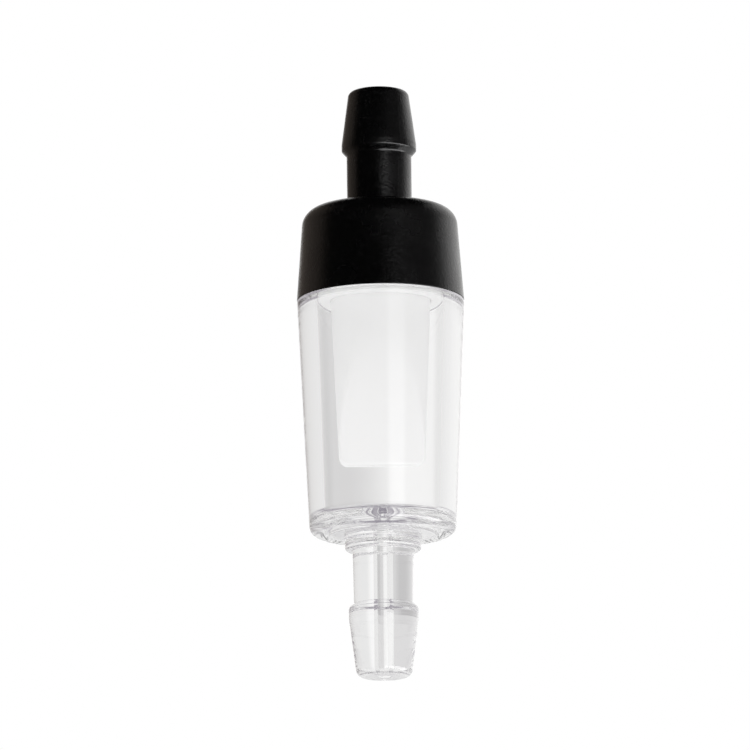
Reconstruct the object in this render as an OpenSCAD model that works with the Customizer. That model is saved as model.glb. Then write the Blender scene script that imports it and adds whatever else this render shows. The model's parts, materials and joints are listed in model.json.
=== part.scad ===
// In-line air check valve: a black cap with a tube barb (inlet, up), a clear cup with a tube barb
// (outlet, down), and a soft duckbill inside that lets air down and shuts when it turns back.
// Z is the flow axis. The origin is the centre of the outlet mouth. The slit lies along X.

/* [Air passages] */
// Radius of the passage through the inlet barb
inlet_bore_r = 1.5; // [0.5:0.05:1.6]
// Radius of the passage through the outlet barb
outlet_bore_r = 0.5; // [0.4:0.05:1.6]

/* [Outlet barb] */
// Radius of the outlet barb's crest
outlet_crest_r = 2.8; // [2.65:0.05:3]
// Radius of the outlet barb's end
outlet_tip_r = 2.2; // [2:0.02:2.3]
// Radius of the outlet stem behind the crest
outlet_stem_r = 2.38; // [2.2:0.02:2.5]
// Height at which the outlet crest starts
outlet_crest_z = 4.7; // [4:0.1:5]

/* [Inlet barb] */
// Radius of the inlet barb's crest
inlet_crest_r = 3; // [2.8:0.05:3.2]
// Radius of the inlet barb's end
inlet_tip_r = 2.4; // [2.2:0.02:2.5]
// Radius of the inlet stem behind the crest
inlet_stem_r = 2.6; // [2.4:0.05:2.7]
// Length of the inlet stem from the cap's top to the crest's slope
inlet_stem_l = 4.4; // [3.5:0.1:5]

/* [Clear cup] */
// Height of the cup's base above the outlet mouth
base_z = 11.5; // [11.2:0.1:12.5]
// Outer radius of the cup at its base
base_r = 5.86; // [5.7:0.02:6.1]
// Radius of the corner under the base
base_corner_r = 1.5; // [0.8:0.1:1.8]
// Thickness of the cup's floor
floor_t = 1.3; // [1:0.1:1.6]
// Inner radius of the cup at its floor
cavity_floor_r = 4.6; // [4.4:0.05:4.8]

/* [Joint between cup and cap] */
// Height of the line where cup and cap meet
seam_z = 30.55; // [29.5:0.05:31]
// Outer radius of cup and cap at that line
seam_r = 6.72; // [6.5:0.02:6.8]
// Outer radius of the cup's neck, inside the cap
neck_r = 5.75; // [5.7:0.05:5.8]
// Inner radius of the cup's neck
neck_bore_r = 5.1; // [5.1:0.02:5.2]
// Height of the neck above the seam
neck_h = 3.5; // [3:0.1:3.8]

/* [Black cap] */
// Height of the cap above the seam
cap_h = 7.55; // [7.3:0.05:8.2]
// Radius of the cap's upper edge, before it is rounded
cap_top_r = 6.15; // [6:0.05:6.5]
// Rounding of the cap's upper edge
cap_edge_r = 1.4; // [0.6:0.1:1.6]

/* [Duckbill] */
// Height of the slit above the outlet mouth
slit_z = 17.1; // [16.5:0.1:18]
// Half the width of the lips at the slit
slit_half_w = 3.44; // [3:0.02:3.5]
// Height at which the round sleeve starts to flatten into lips
lip_root_z = 27; // [26:0.5:28]
// Wall thickness of the duckbill
silicone_t = 0.8; // [0.6:0.05:0.9]
// Thickness of one lip at the slit
lip_t = 0.6; // [0.5:0.05:0.7]
// Gap between the closed lips
slit_gap = 0.04; // [0.02:0.01:0.06]

/* [Hidden] */

$fn = 96;
ARC_STEPS = 6;
CUT = 0.5;            // how far a cutter runs past the solid it cuts

// barbs
crest_land = 0.5;     // straight band at a barb's crest, which the tube's bore grips
tip_edge_r = 0.65;    // rounding of the outlet's end
mouth_edge = 0.12;    // broken edge at the mouth of an air passage
funnel_r = 1.5;       // mouth of the funnel from the chamber into the outlet's passage
funnel_drop = 1;      // depth of the funnel
shoulder_r = 0.42;    // rounding of the outlet crest's shoulder
shoulder_drop = 0.65; // from the crest land to the stem
stem_draft = 0.08;    // how much the outlet stem widens up to its collar

// cup
collar_r = 3.05;      // collar that stops the tube
collar_edge_r = 0.4;
collar_z = base_z - 1.3;
groove_z = base_z - 0.6;
groove_r = 2.86;
hub_r = 3.1;          // ring between the collar and the base
foot_t = 0.15;        // step of the flat foot under the base
foot_z = base_z - foot_t;
foot_r = base_r - base_corner_r;
wall_z = base_z + base_corner_r;
floor_z = base_z + floor_t;
cavity_corner_r = 0.5;
seam_edge = 0.12;     // broken edges that leave a fine line at the seam
neck_top_z = seam_z + neck_h;
neck_chamfer = 0.15;

// cap
fit_gap = 0.05;       // between the neck and what it carries or enters
skirt_bore_r = neck_r + fit_gap;
ring_flange_t = 0.7;
flange_t = 1.2;       // silicone flange, squeezed between the ring and the cap
ring_top_z = neck_top_z + ring_flange_t;
flange_top_z = ring_top_z + flange_t;
cap_top_z = seam_z + cap_h;
crest_slope_h = 0.45; // underside of the inlet crest
inlet_crest_z = cap_top_z + inlet_stem_l + crest_slope_h;
inlet_cone_h = 4.4;   // from the crest land to the rounded end
inlet_edge_r = 0.5;
inlet_top_z = inlet_crest_z + crest_land + inlet_cone_h;
stem_fillet = 0.2;    // at the foot of the inlet stem

// duckbill
sleeve_draft = 0.0424; // widening of the sleeve per mm of height
ring_clearance = 0.1;
ring_bore_r = sleeve_r(ring_top_z) + ring_clearance;
ring_r = neck_bore_r - fit_gap;
ring_bottom_z = seam_z - 0.2;
flange_r = neck_r - 0.15;
lip_corner_r = 0.55;  // rounded lower corners of the lips
lip_root_y = sleeve_r(lip_root_z);
lip_slope = (lip_root_y - lip_t) / (lip_root_z - slit_z);
lip_wall_y = silicone_t * sqrt(1 + pow(lip_slope, 2)); // wall thickness measured along Y
land_top_z = slit_z + (lip_wall_y - lip_t) / lip_slope; // above it the lips part

// Outer radius of the duckbill at a height
function sleeve_r(z) = slit_half_w + sleeve_draft * (z - slit_z);

// Points of an arc in a profile, with the angles from +r towards +z
function arc(centre, r, from, to) = [
    for (i = [0:ARC_STEPS])
        let (a = from + (to - from) * i / ARC_STEPS)
            centre + r * [cos(a), sin(a)]
];

// Outline of the clear cup and its barb, from the mouth up the outside and down the inside
module outlet_profile() {
    polygon(concat(
        [[outlet_bore_r, mouth_edge], [outlet_bore_r + mouth_edge, 0]],
        arc([outlet_tip_r - tip_edge_r, tip_edge_r], tip_edge_r, -90, -8),
        [[outlet_crest_r, outlet_crest_z]],
        arc([outlet_crest_r - shoulder_r, outlet_crest_z + crest_land], shoulder_r, 0, 75),
        [[outlet_stem_r, outlet_crest_z + crest_land + shoulder_drop]],
        [[outlet_stem_r + stem_draft, collar_z]],
        arc([collar_r - collar_edge_r, collar_z + collar_edge_r], collar_edge_r, -90, 0),
        [[collar_r, groove_z], [groove_r, groove_z + 0.1], [hub_r, groove_z + 0.2]],
        [[hub_r, foot_z], [foot_r, foot_z]],
        arc([base_r - base_corner_r, wall_z], base_corner_r, -90, 0),
        [[seam_r, seam_z - seam_edge], [seam_r - seam_edge, seam_z], [neck_r, seam_z]],
        [[neck_r, neck_top_z - neck_chamfer], [neck_r - neck_chamfer, neck_top_z]],
        [[neck_bore_r, neck_top_z], [neck_bore_r, seam_z - CUT]],
        arc([cavity_floor_r - cavity_corner_r, floor_z + cavity_corner_r], cavity_corner_r, 0, -90),
        [[funnel_r, floor_z], [outlet_bore_r, floor_z - funnel_drop]]
    ));
}

// Outline of the black cap and its barb, from the seam up the outside
module inlet_profile() {
    polygon(concat(
        [[skirt_bore_r, seam_z], [seam_r - seam_edge, seam_z], [seam_r, seam_z + seam_edge]],
        arc([cap_top_r - cap_edge_r, cap_top_z - cap_edge_r], cap_edge_r, 4, 90),
        [[inlet_stem_r + stem_fillet, cap_top_z], [inlet_stem_r, cap_top_z + stem_fillet]],
        [[inlet_stem_r, inlet_crest_z - crest_slope_h]],
        [[inlet_crest_r, inlet_crest_z], [inlet_crest_r, inlet_crest_z + crest_land]],
        arc([inlet_tip_r - inlet_edge_r, inlet_top_z - inlet_edge_r], inlet_edge_r, 8, 90),
        [[inlet_bore_r + mouth_edge, inlet_top_z], [inlet_bore_r, inlet_top_z - mouth_edge]],
        [[inlet_bore_r, flange_top_z], [skirt_bore_r, flange_top_z]]
    ));
}

module outlet_body() {
    color([0.86, 0.88, 0.9, 0.35])
        rotate_extrude()
            outlet_profile();
}

module inlet_cap() {
    color([0.05, 0.05, 0.055])
        rotate_extrude()
            inlet_profile();
}

// Ring that hangs in the neck by its flange and carries the duckbill
module retainer_ring() {
    color([0.93, 0.93, 0.91])
        rotate_extrude()
            polygon([
                [ring_bore_r, ring_bottom_z], [ring_r, ring_bottom_z],
                [ring_r, neck_top_z], [flange_r, neck_top_z],
                [flange_r, ring_top_z], [ring_bore_r, ring_top_z]
            ]);
}

// Round upper part of the duckbill, with the flange that the cap squeezes onto the ring
module duckbill_sleeve() {
    color([0.9, 0.9, 0.88])
        rotate_extrude()
            polygon([
                [sleeve_r(lip_root_z) - silicone_t, lip_root_z], [sleeve_r(lip_root_z), lip_root_z],
                [sleeve_r(ring_top_z), ring_top_z], [flange_r, ring_top_z],
                [flange_r, flange_top_z], [sleeve_r(ring_top_z) - silicone_t, flange_top_z],
                [sleeve_r(ring_top_z) - silicone_t, ring_top_z]
            ]);
}

// Solid cone that the sleeve and lips are cut from, thinner than the outside by inset
module duckbill_cone(inset) {
    rotate_extrude()
        polygon([
            [0, slit_z - CUT], [sleeve_r(slit_z - CUT) - inset, slit_z - CUT],
            [sleeve_r(lip_root_z) - inset, lip_root_z], [0, lip_root_z]
        ]);
}

// Front view of the lips, with their rounded lower corners
module lip_front_view() {
    corner_x = slit_half_w - lip_corner_r;
    corner_z = slit_z + lip_corner_r;
    translate([-neck_r, corner_z])
        square([2 * neck_r, lip_root_z - corner_z]);
    translate([-corner_x, slit_z])
        square([2 * corner_x, lip_corner_r + CUT]);
    for (side = [-1, 1])
        translate([side * corner_x, corner_z])
            circle(r = lip_corner_r);
}

// One lip as it lies behind the slit: half of a hollow cone flattened to an edge
module lip() {
    difference() {
        intersection() {
            duckbill_cone(0);
            rotate([90, 0, 0])
                linear_extrude(height = 2 * neck_r, center = true)
                    lip_front_view();
            rotate([90, 0, 90])
                linear_extrude(height = 2 * neck_r, center = true)
                    polygon([
                        [slit_gap / 2, slit_z], [lip_t, slit_z],
                        [lip_root_y, lip_root_z], [slit_gap / 2, lip_root_z]
                    ]);
        }
        intersection() {
            translate([0, 0, CUT])
                duckbill_cone(silicone_t + sleeve_draft * CUT);
            rotate([90, 0, 90])
                linear_extrude(height = 2 * neck_r, center = true)
                    polygon([
                        [0, land_top_z], [lip_root_y - lip_wall_y, lip_root_z],
                        [lip_root_y - lip_wall_y, lip_root_z + CUT], [0, lip_root_z + CUT]
                    ]);
        }
    }
}

module duckbill_lip_front() {
    color([0.9, 0.9, 0.88])
        mirror([0, 1, 0])
            lip();
}

module duckbill_lip_back() {
    color([0.9, 0.9, 0.88])
        lip();
}

outlet_body();
inlet_cap();
retainer_ring();
duckbill_sleeve();
duckbill_lip_front();
duckbill_lip_back();
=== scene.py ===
"""In-line air check valve: a clear cup and a black cap, each with a tube barb, and a milky duckbill inside.

Everything is built in millimetres and scaled to metres as each mesh is made. Heights and widths that the
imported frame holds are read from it, and the rest repeat the sizes of the same names in the CAD source. The
flow axis is Z, the centre of the outlet's mouth is the origin and the slit of the duckbill lies along X.
"""
import json
import math

import bpy
from mathutils import Matrix, Vector


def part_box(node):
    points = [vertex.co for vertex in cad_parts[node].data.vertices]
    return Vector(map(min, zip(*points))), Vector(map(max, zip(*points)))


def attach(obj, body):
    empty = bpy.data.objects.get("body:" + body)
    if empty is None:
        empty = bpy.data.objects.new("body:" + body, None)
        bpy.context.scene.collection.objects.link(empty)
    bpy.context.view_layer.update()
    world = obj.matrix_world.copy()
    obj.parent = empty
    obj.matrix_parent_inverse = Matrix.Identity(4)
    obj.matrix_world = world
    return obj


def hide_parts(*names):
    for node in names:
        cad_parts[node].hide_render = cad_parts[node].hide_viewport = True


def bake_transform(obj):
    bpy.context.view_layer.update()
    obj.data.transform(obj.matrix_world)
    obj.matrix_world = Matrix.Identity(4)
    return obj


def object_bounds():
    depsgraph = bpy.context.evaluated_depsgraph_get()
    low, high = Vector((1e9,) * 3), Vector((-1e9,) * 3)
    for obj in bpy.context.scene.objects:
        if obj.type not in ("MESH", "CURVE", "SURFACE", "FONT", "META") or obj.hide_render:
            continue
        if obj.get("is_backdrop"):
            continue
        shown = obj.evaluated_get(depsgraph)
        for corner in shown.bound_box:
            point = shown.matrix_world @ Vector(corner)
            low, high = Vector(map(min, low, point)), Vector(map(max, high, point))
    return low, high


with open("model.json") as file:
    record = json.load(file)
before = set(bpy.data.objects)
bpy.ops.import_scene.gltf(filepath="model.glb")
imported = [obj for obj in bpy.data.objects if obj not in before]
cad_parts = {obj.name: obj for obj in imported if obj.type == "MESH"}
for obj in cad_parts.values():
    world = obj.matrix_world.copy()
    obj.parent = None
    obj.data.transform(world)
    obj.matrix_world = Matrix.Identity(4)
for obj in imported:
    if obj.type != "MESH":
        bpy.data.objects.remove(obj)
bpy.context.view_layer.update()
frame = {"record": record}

MM = 0.001
TURN_STEPS = 288        # columns round a turned piece
ARC_DEG = 7.5           # largest turn between two points of a rounded edge

# ---------------------------------------------------------------- sizes, in mm


def low(node, axis=2):
    """Lowest coordinate of a CAD node along an axis, in mm."""
    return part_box(node)[0][axis] / MM


def high(node, axis=2):
    """Highest coordinate of a CAD node along an axis, in mm."""
    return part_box(node)[1][axis] / MM


mounts = {mount["name"]: mount for mount in frame["record"]["mounts"]}


def land(name):
    """Radius, lowest and highest height of the straight band at a barb's crest, in mm."""
    centre = mounts[name]["pos_m"][2] / MM
    half = mounts[name]["dims"]["length_mm"] / 2
    return mounts[name]["dims"]["r_mm"], centre - half, centre + half


mouth_edge = 0.12       # rounding at the mouth of an air passage

# clear cup and outlet barb
outlet_bore_r = mounts["outlet_port"]["dims"]["r_mm"]
outlet_tip_r = 2.2
outlet_stem_r = 2.38
stem_draft = 0.08       # how much the outlet stem widens up to its collar
collar_r = 3.05         # collar that stops the tube
groove_r = 2.86
hub_r = 3.1             # ring between the collar and the base
base_z = 11.5
base_r = 5.86
base_corner_r = 1.5
foot_r = base_r - base_corner_r
foot_z = base_z - 0.15
groove_z = base_z - 0.6
collar_z = base_z - 1.3
floor_z = base_z + 1.3
cavity_floor_r = 4.6
funnel_r = 1.5          # mouth of the funnel from the chamber into the outlet's passage
funnel_drop = 1
seam_z = low("inlet_cap")
seam_r = high("inlet_cap", 1)
neck_r = 5.75
neck_bore_r = 5.1
neck_top_z = high("outlet_body")

# black cap and inlet barb
inlet_bore_r = mounts["inlet_port"]["dims"]["r_mm"]
inlet_tip_r = 2.4
inlet_stem_r = 2.6
inlet_top_z = high("inlet_cap")
crest_slope_h = 0.45    # underside of the inlet crest
skirt_bore_r = neck_r + 0.05
cap_top_z = seam_z + 7.55
cap_top_r = 6.15        # upper edge of the cap, before it is rounded
cap_edge_r = 1.4

# retainer ring and cement
seat_gap = 0.03         # between pieces that rest on the clear cup, with the cement in the middle third
ring_r = high("retainer_ring", 0)
ring_bottom_z = low("retainer_ring")
ring_top_z = high("retainer_ring")

# duckbill
flange_r = high("duckbill_sleeve", 0)
flange_top_z = high("duckbill_sleeve")
root_z = low("duckbill_sleeve")
root_half_w = high("duckbill_lip_front", 0)
slit_z = low("duckbill_lip_front")
slit_half_w = 3.44
slit_gap = 0.04
silicone_t = 0.8
lip_t = 0.6
lip_slope = (root_half_w - lip_t) / (root_z - slit_z)
lip_corner_r = 0.55     # rounded lower corners of the lips
lip_corner_t = 0.48     # wall at those corners, measured along X
lip_edge_r = 0.12       # rounding of the lips along the slit
lip_side_r = 0.35       # rounding between a lip's flat face and the round side of the duckbill
join_z = root_z + 1.5   # where the turned sleeve meets the four lip quarters


def sleeve_r(z):
    """Outer radius of the duckbill at a height."""
    return slit_half_w + (root_half_w - slit_half_w) * (z - slit_z) / (root_z - slit_z)


# ---------------------------------------------------------------- mesh building


def rounded(points, closed):
    """Profile with each corner (r, z, radius) turned into an arc, and a point just beside each arc.

    The extra points keep the long straight stretches flat when the surface is shaded smooth.
    """
    profile = []
    count = len(points)
    for i, (r, z, radius) in enumerate(points):
        here = Vector((r, z))
        if not radius or (not closed and i in (0, count - 1)):
            profile.append(here)
            continue
        to_last = Vector(points[i - 1][:2]) - here
        to_next = Vector(points[(i + 1) % count][:2]) - here
        angle = to_last.angle(to_next)
        reach = min(radius / math.tan(angle / 2), to_last.length * 0.48, to_next.length * 0.48)
        radius = reach * math.tan(angle / 2)
        last_way, next_way = to_last.normalized(), to_next.normalized()
        start = here + last_way * reach
        end = here + next_way * reach
        centre = here + (last_way + next_way).normalized() * radius / math.sin(angle / 2)
        beside = min(0.15 * reach, 0.02)
        profile.append(start + last_way * beside)
        steps = max(2, math.ceil(math.degrees(math.pi - angle) / ARC_DEG))
        arm = start - centre
        swing = arm.angle_signed(end - centre)
        for step in range(steps + 1):
            turn = -swing * step / steps
            profile.append(centre + Vector((arm.x * math.cos(turn) - arm.y * math.sin(turn),
                                            arm.x * math.sin(turn) + arm.y * math.cos(turn))))
        profile.append(end + next_way * beside)
    return profile


def divided(profile, closed, longest):
    """Profile with its long stretches cut into equal lengths."""
    cut = []
    count = len(profile)
    for i, here in enumerate(profile):
        cut.append(here)
        if i == count - 1 and not closed:
            break
        there = profile[(i + 1) % count]
        lengths = math.ceil((there - here).length / longest)
        cut += [here.lerp(there, k / lengths) for k in range(1, lengths)]
    return cut


def finished(name, points, faces, material):
    """Object from points in mm, shaded smooth, with its material."""
    mesh = bpy.data.meshes.new(name)
    mesh.from_pydata([Vector(point) * MM for point in points], [], faces)
    mesh.validate()
    mesh.shade_smooth()
    mesh.materials.append(material)
    piece = bpy.data.objects.new(name, mesh)
    bpy.context.scene.collection.objects.link(piece)
    return piece


def turned(name, corners, material, closed=True, longest=1.5, swell=None):
    """Surface of revolution from profile corners (r, z, radius), listed up the outside and down the inside.

    swell(azimuth in degrees, r, z) may add a little to the radius.
    """
    profile = divided(rounded(corners, closed), closed, longest)
    count = len(profile)
    points = []
    for k in range(TURN_STEPS):
        azimuth = 2 * math.pi * k / TURN_STEPS
        for p in profile:
            r = p.x + (swell(math.degrees(azimuth), p.x, p.y) if swell else 0)
            points.append((r * math.cos(azimuth), r * math.sin(azimuth), p.y))
    faces = []
    for k in range(TURN_STEPS):
        here, beside = k * count, (k + 1) % TURN_STEPS * count
        for i in range(count if closed else count - 1):
            j = (i + 1) % count
            faces.append((here + i, beside + i, beside + j, here + j))
    return finished(name, points, faces, material)


# ---------------------------------------------------------------- shader nodes


def feed(tree, value, socket):
    """Link a node's output to a socket, or set a number or a colour on the socket itself."""
    if isinstance(value, bpy.types.NodeSocket):
        tree.links.new(value, socket)
    elif isinstance(value, tuple):
        socket.default_value = (*value, 1)
    else:
        socket.default_value = value


def maths(tree, operation, *values):
    """Result of a math node."""
    node = tree.nodes.new("ShaderNodeMath")
    node.operation = operation
    for value, socket in zip(values, node.inputs):
        feed(tree, value, socket)
    return node.outputs[0]


def between(tree, value, from_low, from_high, to_low, to_high, way="LINEAR"):
    """Value carried from one range to another and clamped, evenly or by a smooth step."""
    node = tree.nodes.new("ShaderNodeMapRange")
    node.interpolation_type = way
    node.inputs["From Min"].default_value = from_low
    node.inputs["From Max"].default_value = from_high
    node.inputs["To Min"].default_value = to_low
    node.inputs["To Max"].default_value = to_high
    tree.links.new(value, node.inputs["Value"])
    return node.outputs["Result"]


def blended(tree, share, first, second):
    """First colour where the share is 0, second where it is 1."""
    node = tree.nodes.new("ShaderNodeMix")
    node.data_type = "RGBA"
    feed(tree, share, node.inputs[0])
    feed(tree, first, node.inputs[6])
    feed(tree, second, node.inputs[7])
    return node.outputs[2]


def noise(tree, frequency, detail, roughness=0.5):
    """Noise with its own frequency along X, Y and Z, per metre of the object."""
    coords = tree.nodes.new("ShaderNodeTexCoord")
    mapping = tree.nodes.new("ShaderNodeMapping")
    mapping.inputs["Scale"].default_value = frequency
    tree.links.new(coords.outputs["Object"], mapping.inputs["Vector"])
    node = tree.nodes.new("ShaderNodeTexNoise")
    node.inputs["Scale"].default_value = 1
    node.inputs["Detail"].default_value = detail
    node.inputs["Roughness"].default_value = roughness
    tree.links.new(mapping.outputs["Vector"], node.inputs["Vector"])
    return node.outputs["Fac"]


def bumped(tree, height, distance, strength, normal=None):
    """Bump from a height, over an earlier bump if one is given."""
    node = tree.nodes.new("ShaderNodeBump")
    node.inputs["Distance"].default_value = distance
    node.inputs["Strength"].default_value = strength
    tree.links.new(height, node.inputs["Height"])
    if normal:
        tree.links.new(normal, node.inputs["Normal"])
    return node.outputs["Normal"]


def principled(name):
    """New material, its node tree and its Principled node."""
    material = bpy.data.materials.new(name)
    material.use_nodes = True
    return material, material.node_tree, material.node_tree.nodes["Principled BSDF"]


def mix_surface(tree, share, first, second):
    """Make the surface the first shader where the share is 0, and the second where it is 1."""
    node = tree.nodes.new("ShaderNodeMixShader")
    for value, socket in zip((share, first, second), node.inputs):
        feed(tree, value, socket)
    tree.links.new(node.outputs[0], tree.nodes["Material Output"].inputs["Surface"])


# ---------------------------------------------------------------- materials


def clear_styrene():
    """Clear moulded plastic: polished, with faint flow waves and a hint of warm tint."""
    material, tree, shader = principled("clear_styrene")
    flow = noise(tree, (260, 260, 90), 1)
    haze = noise(tree, (900, 900, 900), 3)
    colour = blended(tree, haze, (0.975, 0.974, 0.972), (0.99, 0.989, 0.987))
    shader.inputs["Transmission Weight"].default_value = 1
    shader.inputs["IOR"].default_value = 1.55
    feed(tree, colour, shader.inputs["Base Color"])
    feed(tree, between(tree, haze, 0.3, 0.7, 0, 0.01), shader.inputs["Roughness"])
    feed(tree, bumped(tree, flow, 0.00005, 0.15), shader.inputs["Normal"])
    return material


def black_abs():
    """Black moulded plastic with a fine eroded texture and paler specks."""
    material, tree, shader = principled("black_abs")
    grain = noise(tree, (5200, 5200, 5200), 3, 0.6)
    specks = noise(tree, (4800, 4800, 4800), 2, 0.7)
    cloud = noise(tree, (420, 420, 420), 2)
    speck_share = between(tree, specks, 0.58, 0.72, 0, 1)
    colour = blended(tree, speck_share, (0.0008, 0.0008, 0.0008), (0.008, 0.0078, 0.008))
    normal = bumped(tree, specks, 0.00004, 0.6, bumped(tree, grain, 0.00002, 0.6))
    feed(tree, colour, shader.inputs["Base Color"])
    feed(tree, between(tree, cloud, 0.3, 0.7, 0.2, 0.3), shader.inputs["Roughness"])
    feed(tree, normal, shader.inputs["Normal"])
    return material


def natural_plastic():
    """Uncoloured white plastic, satin, slightly uneven."""
    material, tree, shader = principled("natural_plastic")
    cloud = noise(tree, (700, 700, 700), 3)
    colour = blended(tree, cloud, (0.82, 0.82, 0.82), (0.85, 0.85, 0.85))
    feed(tree, colour, shader.inputs["Base Color"])
    feed(tree, between(tree, cloud, 0.3, 0.7, 0.38, 0.5), shader.inputs["Roughness"])
    feed(tree, bumped(tree, cloud, 0.00003, 0.3), shader.inputs["Normal"])
    return material


def milky_silicone():
    """Milky silicone: part of the light goes through, the rest scatters back from a satin skin."""
    material, tree, shader = principled("milky_silicone")
    cloud = noise(tree, (600, 600, 350), 3)
    skin = noise(tree, (4000, 4000, 4000), 2)
    colour = blended(tree, cloud, (0.96, 0.96, 0.96), (0.98, 0.98, 0.981))
    normal = bumped(tree, skin, 0.00001, 0.4)
    feed(tree, colour, shader.inputs["Base Color"])
    feed(tree, between(tree, skin, 0.3, 0.7, 0.42, 0.55), shader.inputs["Roughness"])
    feed(tree, normal, shader.inputs["Normal"])
    through = tree.nodes.new("ShaderNodeBsdfTranslucent")
    feed(tree, colour, through.inputs["Color"])
    feed(tree, normal, through.inputs["Normal"])
    mix_surface(tree, 0.3, shader.outputs[0], through.outputs[0])
    return material


# ---------------------------------------------------------------- pieces

styrene = clear_styrene()
abs_plastic = black_abs()
white_plastic = natural_plastic()
silicone = milky_silicone()


def make_cup():
    """Clear cup, its base, collar, stem and outlet barb."""
    crest_r, land_low, land_high = land("outlet_barb")
    shoulder_z = land_high + 0.45
    stem_z = land_high + 0.62
    groove_edge_h = 0.1
    neck_foot_z = seam_z - 0.5
    piece = turned("clear_cup", [
        (outlet_bore_r, 0, mouth_edge),
        (outlet_tip_r, 0, 0.65),
        (crest_r, land_low, 0.25),
        (crest_r, shoulder_z, 0.45),
        (outlet_stem_r, stem_z, 0.15),
        (outlet_stem_r + stem_draft, collar_z, 0.1),
        (collar_r, collar_z, 0.4),
        (collar_r, groove_z, 0.04),
        (groove_r, groove_z + groove_edge_h, 0.04),
        (hub_r, groove_z + 2 * groove_edge_h, 0.05),
        (hub_r, foot_z, 0.06),
        (foot_r, foot_z, 0.05),
        (foot_r, base_z, 0.05),
        (base_r, base_z, base_corner_r),
        (seam_r, seam_z, 0.04),
        (neck_r, seam_z, 0.03),
        (neck_r, neck_top_z, 0.15),
        (neck_bore_r, neck_top_z, 0.1),
        (neck_bore_r, neck_foot_z, 0.5),
        (cavity_floor_r, floor_z, 0.5),
        (funnel_r, floor_z, 0.3),
        (outlet_bore_r, floor_z - funnel_drop, 0.5),
    ], styrene)
    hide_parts("outlet_body")
    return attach(piece, "valve_body")


def parting_line(azimuth, r, z):
    """Fine raised line where the halves of the cap's mould met, on two sides of the cap."""
    line_azimuth, half_width, height = -55, 1.2, 0.018
    outside = inlet_bore_r + 0.5 < r < seam_r - 0.05 and z < inlet_top_z - 0.6
    off = abs((azimuth - line_azimuth + 90) % 180 - 90)
    return height * max(0, 1 - off / half_width) if outside else 0


def make_cap():
    """Black cap, its stem and inlet barb."""
    crest_r, land_low, land_high = land("inlet_barb")
    piece = turned("black_cap", [
        (skirt_bore_r, seam_z + seat_gap, 0.05),
        (seam_r, seam_z + seat_gap, 0.05),
        (cap_top_r, cap_top_z, cap_edge_r),
        (inlet_stem_r, cap_top_z, 0.2),
        (inlet_stem_r, land_low - crest_slope_h, 0.3),
        (crest_r, land_low, 0.2),
        (crest_r, land_high, 0.15),
        (inlet_tip_r, inlet_top_z, 0.5),
        (inlet_bore_r, inlet_top_z, mouth_edge),
        (inlet_bore_r, flange_top_z, 0.1),
        (skirt_bore_r, flange_top_z, 0.1),
    ], abs_plastic, swell=parting_line)
    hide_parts("inlet_cap")
    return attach(piece, "valve_body")


def make_cement():
    """Film of whitened cement that holds the cap on the cup's shoulder and neck."""
    third = seat_gap / 3
    inner_r, outer_r = neck_r + third, neck_r + 2 * third
    bottom_z, shoulder_z = seam_z + third, seam_z + 2 * third
    rim_r = seam_r - 0.06
    top_z = neck_top_z - 0.3
    piece = turned("cement_film", [
        (inner_r, bottom_z, 0),
        (rim_r, bottom_z, 0),
        (rim_r, shoulder_z, 0),
        (outer_r, shoulder_z, 0),
        (outer_r, top_z, 0),
        (inner_r, top_z, 0),
    ], white_plastic)
    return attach(piece, "valve_body")


def make_ring():
    """White ring that hangs in the neck and carries the duckbill."""
    body_r = neck_bore_r - seat_gap
    seat_z = neck_top_z + seat_gap
    piece = turned("white_retainer", [
        (sleeve_r(ring_bottom_z) + seat_gap, ring_bottom_z, 0.05),
        (body_r, ring_bottom_z, 0.05),
        (body_r, seat_z, 0.05),
        (ring_r, seat_z, 0.1),
        (ring_r, ring_top_z, 0.1),
        (sleeve_r(ring_top_z) + seat_gap, ring_top_z, 0.1),
    ], white_plastic)
    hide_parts("retainer_ring")
    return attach(piece, "valve_body")


def make_sleeve():
    """Round upper part of the duckbill with its flange."""
    hole_r = sleeve_r(ring_top_z) - silicone_t
    piece = turned("silicone_sleeve", [
        (sleeve_r(join_z), join_z, 0),
        (sleeve_r(ring_top_z), ring_top_z, 0.05),
        (flange_r, ring_top_z, 0.15),
        (flange_r, flange_top_z, 0.15),
        (hole_r, flange_top_z, 0.15),
        (hole_r, ring_top_z, 0.3),
        (sleeve_r(join_z) - silicone_t, join_z, 0),
    ], silicone, closed=False, longest=0.5)
    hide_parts("duckbill_sleeve")
    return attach(piece, "valve_body")


def soft_least(a, b, reach):
    """The lesser of two values, rounded off where they come within reach of each other."""
    share = max(0, min(1, 0.5 + (b - a) / (2 * reach)))
    return a * share + b * (1 - share) - reach * share * (1 - share)


def drawn_in(z, radius):
    """How far an edge rounded to a radius has drawn in at a height near the slit."""
    return radius - math.sqrt(max(0, radius ** 2 - max(0, slit_z + radius - z) ** 2))


def lip_point(z, angle, inset, thick):
    """Point of a lip's section, round at the side and flat in front, at an angle from the flat's middle."""
    half_width = sleeve_r(z) - drawn_in(z, lip_corner_r) - inset
    y = soft_least(half_width * math.cos(angle), thick, min(lip_side_r, thick / 2))
    return half_width * math.sin(angle), max(0, y), z


def lip_outside(z, angle):
    """Point of a lip's outer face."""
    thick = lip_t + lip_slope * (z - slit_z) - drawn_in(z, lip_edge_r)
    return lip_point(z, angle, 0, thick)


def lip_inside(z, angle):
    """Point of a lip's inner face, which lies at the slit until the lips part."""
    wall_y = silicone_t * math.hypot(1, lip_slope)
    side_t = silicone_t if z > slit_z + lip_corner_r else lip_corner_t
    thick = max(slit_gap / 2, lip_t + lip_slope * (z - slit_z) - wall_y)
    return lip_point(z, angle, side_t, thick)


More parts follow.
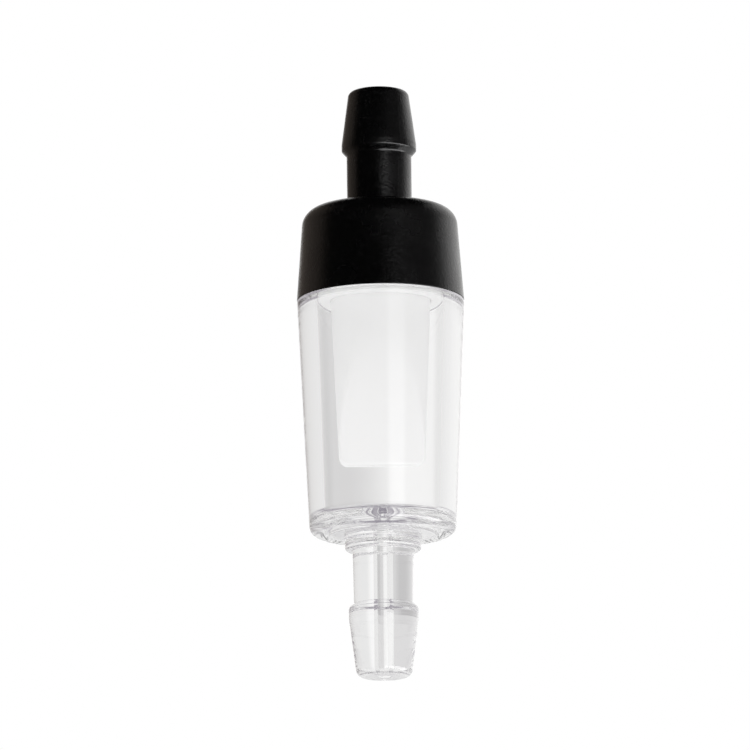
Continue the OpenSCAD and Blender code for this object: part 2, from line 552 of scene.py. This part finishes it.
def make_lip_quarter(name, node, right, front):
    """One quarter of the duckbill below the sleeve: right or left half of the front or back lip.

    Each column runs down the outside from the join, round the lip's edge and up the inside.
    """
    rows, columns = 44, TURN_STEPS // 4
    drop = join_z - slit_z
    heights = [slit_z + drop * (1 - math.cos(math.pi / 2 * row / rows)) for row in range(rows + 1)]
    side_x, side_y = (1 if right else -1), (-1 if front else 1)
    points = []
    for column in range(columns + 1):
        angle = math.pi / 2 * column / columns
        line = [lip_outside(z, angle) for z in reversed(heights)]
        line += [lip_inside(z, angle) for z in heights]
        points += [(side_x * x, side_y * y, z) for x, y, z in line]
    length = 2 * (rows + 1)
    faces = []
    for column in range(columns):
        for row in range(length - 1):
            here, beside = column * length + row, (column + 1) * length + row
            quad = (here, here + 1, beside + 1, beside)
            faces.append(quad if right == front else quad[::-1])
    piece = finished(name, points, faces, silicone)
    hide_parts(node)
    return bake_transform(piece)


make_cup()
make_cap()
make_cement()
make_ring()
make_sleeve()
for side, right in (("right", True), ("left", False)):
    make_lip_quarter("lip_front_" + side, "duckbill_lip_front", right, True)
    make_lip_quarter("lip_back_" + side, "duckbill_lip_back", right, False)

# ---------------------------------------------------------------- floor, light and camera


def make_floor():
    """Wide pale floor, 0.3 m below the valve. The camera sees it from above only, and nothing else does."""
    material, tree, shader = principled("floor_paint")
    cloud = noise(tree, (4, 4, 4), 2)
    feed(tree, blended(tree, cloud, (0.88, 0.88, 0.88), (0.9, 0.9, 0.9)), shader.inputs["Base Color"])
    shader.inputs["Roughness"].default_value = 0.9
    camera_ray = tree.nodes.new("ShaderNodeLightPath").outputs["Is Camera Ray"]
    underside = tree.nodes.new("ShaderNodeNewGeometry").outputs["Backfacing"]
    clear = tree.nodes.new("ShaderNodeBsdfTransparent")
    shown = maths(tree, "MULTIPLY", camera_ray, maths(tree, "SUBTRACT", 1, underside))
    mix_surface(tree, shown, clear.outputs[0], shader.outputs[0])
    half, depth = 4, -0.3
    corners = [(-half, -half, depth), (half, -half, depth), (half, half, depth), (-half, half, depth)]
    mesh = bpy.data.meshes.new("floor")
    mesh.from_pydata(corners, [], [(0, 1, 2, 3)])
    mesh.materials.append(material)
    floor = bpy.data.objects.new("floor", mesh)
    bpy.context.scene.collection.objects.link(floor)
    floor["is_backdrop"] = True


def make_studio():
    """White backdrop for the camera, and soft studios on the same axes for all other light.

    What shows through the clear cup is a pale backdrop with a few greyer panels; what its walls turn back
    is a room that is grey below and above; what shines on the surfaces is a few soft panels in a dark room;
    and what lights the milky silicone is nearly even light from all round. A direction's azimuth is 0
    straight behind the valve and grows to the right, and its elevation grows upward.
    """
    world = bpy.data.worlds.new("studio")
    bpy.context.scene.world = world
    world.use_nodes = True
    world.cycles.sampling_method = "NONE"
    tree = world.node_tree
    tree.nodes.clear()
    coords = tree.nodes.new("ShaderNodeTexCoord")
    split = tree.nodes.new("ShaderNodeSeparateXYZ")
    tree.links.new(coords.outputs["Generated"], split.inputs[0])
    x, y, z = split.outputs
    azimuth = maths(tree, "MULTIPLY", maths(tree, "ARCTAN2", x, y), math.degrees(1))
    elevation = maths(tree, "MULTIPLY", maths(tree, "ARCSINE", z), math.degrees(1))

    def rise(value, middle, soft):
        """Smooth step up through a middle value."""
        return between(tree, value, middle - soft, middle + soft, 0, 1, "SMOOTHSTEP")

    def fall(value, middle, soft):
        """Smooth step down through a middle value."""
        return between(tree, value, middle - soft, middle + soft, 1, 0, "SMOOTHSTEP")

    def room(colour, panels):
        """Colour all round, with panels of other colours: (azimuths, elevations, soft edges, colour)."""
        for (left, right, soft_left, soft_right), (bottom, top, soft_height), panel_colour in panels:
            share = rise(azimuth, left, soft_left)
            for edge in (fall(azimuth, right, soft_right), rise(elevation, bottom, soft_height),
                         fall(elevation, top, soft_height)):
                share = maths(tree, "MULTIPLY", share, edge)
            colour = blended(tree, share, colour, panel_colour)
        return colour

    everywhere = (-181, 181, 1, 1)
    seen_through = room((0.94, 0.94, 0.94), [
        ((2, 22, 5, 5), (-34, 34, 6), (1, 1, 1)),
        ((22, 80, 5, 8), (-34, 34, 6), (0.86, 0.86, 0.86)),
        ((-75, -2, 8, 5), (-34, 34, 6), (0.76, 0.755, 0.76)),
        ((-75, -2, 8, 5), (-34, 13, 4), (0.68, 0.675, 0.68)),
        ((-68, -20, 8, 6), (-34, 13, 4), (0.53, 0.525, 0.53)),
        (everywhere, (-95, -40, 8), (0.84, 0.835, 0.845)),
        (everywhere, (55, 95, 8), (0.74, 0.735, 0.745)),
    ])
    turned_back = room((0.86, 0.86, 0.86), [
        (everywhere, (-60, -1, 4), (0.42, 0.4, 0.44)),
        ((-25, 55, 10, 10), (-52, -14, 5), (0.95, 0.95, 0.95)),
        (everywhere, (-95, -52, 8), (0.3, 0.28, 0.325)),
        (everywhere, (50, 95, 12), (0.5, 0.49, 0.515)),
    ])
    shining = room((0.006, 0.006, 0.007), [
        ((-88, 0, 7, 10), (-40, 45, 8), (0.22, 0.185, 0.16)),
        ((70, 152, 12, 12), (-12, 45, 8), (0.09, 0.087, 0.09)),
        ((-18, 74, 8, 20), (-45, 2, 4), (0.8, 0.8, 0.8)),
        ((-18, 74, 8, 20), (2, 45, 4), (1.2, 1.19, 1.18)),
        ((74, 176, 8, 8), (-42, -14, 4), (4.4, 4.4, 4.4)),
        ((146, 170, 5, 5), (-16, 7, 3), (2.3, 2.3, 2.3)),
    ])
    even = room((1.32, 1.32, 1.32), [
        ((-150, -20, 30, 30), (-60, 60, 20), (1.25, 1.25, 1.25)),
        (everywhere, (6, 95, 10), (0.66, 0.66, 0.66)),
    ])
    path = tree.nodes.new("ShaderNodeLightPath")

    def more_than(kind, bounces):
        """1 where a ray has had more than so many bounces of a kind, else 0."""
        return maths(tree, "GREATER_THAN", path.outputs[kind + " Depth"], bounces + 0.5)

    reflected = more_than("Glossy", 0)
    scattered = maths(tree, "MAXIMUM", more_than("Diffuse", 0), more_than("Transmission", 8))
    mirrored = blended(tree, more_than("Transmission", 0), shining, turned_back)
    lighting = blended(tree, reflected, seen_through, mirrored)
    lighting = blended(tree, scattered, lighting, even)
    lighting = blended(tree, path.outputs["Is Camera Ray"], lighting, (1, 1, 1))
    background = tree.nodes.new("ShaderNodeBackground")
    tree.links.new(lighting, background.inputs["Color"])
    output = tree.nodes.new("ShaderNodeOutputWorld")
    tree.links.new(background.outputs[0], output.inputs["Surface"])


def make_camera():
    """Long lens, below the valve and looking up at it, as in the photograph."""
    elevation, lean = math.radians(-12), math.radians(-0.6)
    distance = 0.667
    right_of_middle, below_middle = 0.00051, 0.0006
    low_corner, high_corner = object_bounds()
    back = Vector((0, -math.cos(elevation), math.sin(elevation)))
    turn = (-back).to_track_quat("-Z", "Y").to_matrix() @ Matrix.Rotation(lean, 3, "Z")
    aim = (low_corner + high_corner) / 2 - turn @ Vector((right_of_middle, -below_middle, 0))
    data = bpy.data.cameras.new("camera")
    data.sensor_width = 36
    data.lens = 400
    data.clip_start = 0.01
    data.clip_end = 20
    camera = bpy.data.objects.new("camera", data)
    camera.matrix_world = Matrix.Translation(aim + back * distance) @ turn.to_4x4()
    bpy.context.scene.collection.objects.link(camera)
    bpy.context.scene.camera = camera


def set_light_paths():
    """Plain colours and many bounces.

    Light turns back often inside the clear walls before it leaves them, and a path cut short shows black.
    """
    scene = bpy.context.scene
    scene.view_settings.view_transform = "Standard"
    scene.view_settings.look = "None"
    scene.cycles.max_bounces = 128
    scene.cycles.transmission_bounces = 96
    scene.cycles.glossy_bounces = 96
    scene.cycles.diffuse_bounces = 24
    scene.cycles.transparent_max_bounces = 32
    scene.cycles.blur_glossy = 0


make_floor()
make_studio()
make_camera()
set_light_paths()

bpy.context.view_layer.update()
